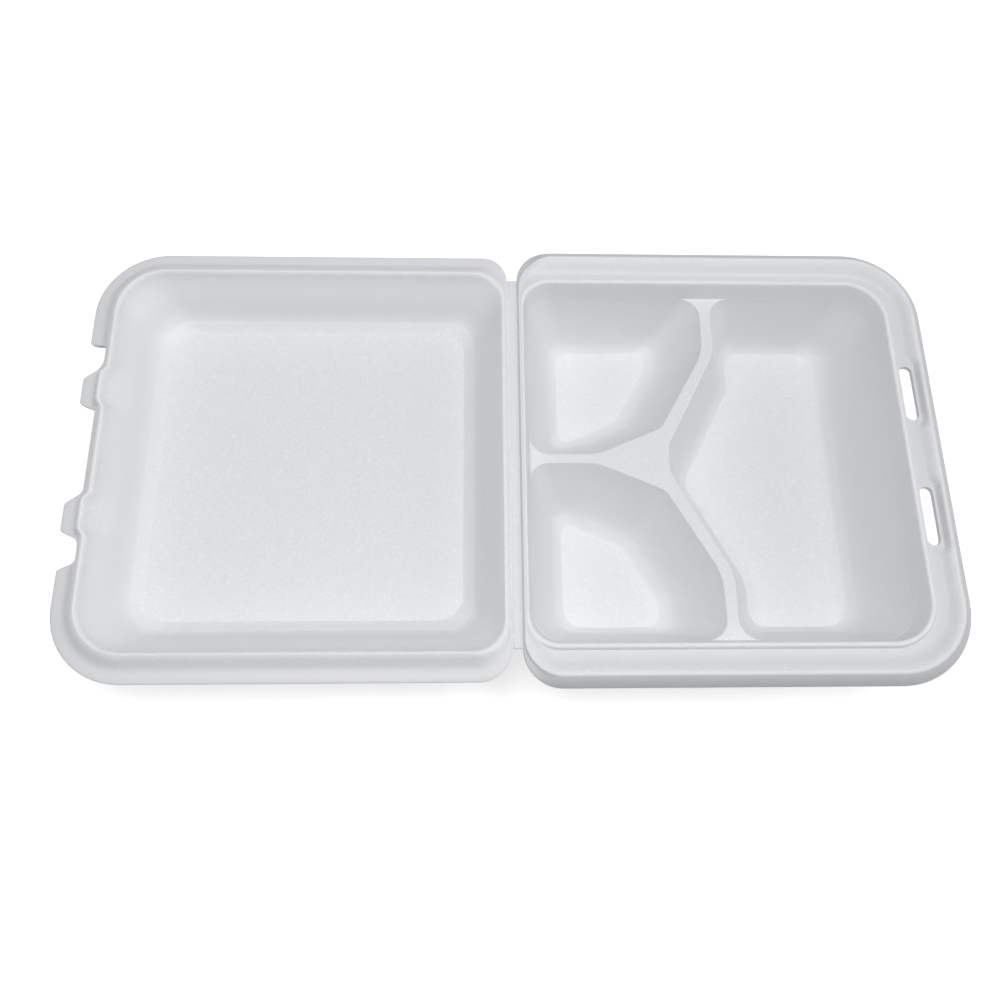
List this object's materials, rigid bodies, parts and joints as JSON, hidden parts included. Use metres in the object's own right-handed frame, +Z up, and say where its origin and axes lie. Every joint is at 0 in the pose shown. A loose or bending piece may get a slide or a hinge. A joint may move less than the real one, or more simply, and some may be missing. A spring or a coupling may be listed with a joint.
{
  "type": "foam hinged lid container",
  "caption": "Hinged food container of white foam sheet, shown open: base with three compartments, shallow lid and a double-creased hinge.",
  "frame": {"origin": "on the table, under the middle of the hinge strip, which is the centre of the open container", "axes": "+X from the hinge to the front edge of the base, +Y along the hinge, +Z up; the lid lies along -X"},
  "size_m": [0.406, 0.216, 0.0515],
  "materials": {
    "foam": "white expanded polystyrene foam sheet with a soft satin skin and fine cells"
  },
  "bodies": {
    "base": {"base": "foam"},
    "hinge_strip": {"hinge_strip": "foam"},
    "lid": {"lid": "foam"}
  },
  "joints": [
    {"name": "base_crease", "type": "hinge", "parent": "base", "child": "hinge_strip", "pos_m": [0.00225, 0, 0.0459], "axis": [0, 1, 0], "range_deg": [0, 90]},
    {"name": "lid_crease", "type": "hinge", "parent": "hinge_strip", "child": "lid", "pos_m": [-0.00225, 0, 0.0459], "axis": [0, 1, 0], "range_deg": [0, 90]}
  ]
}
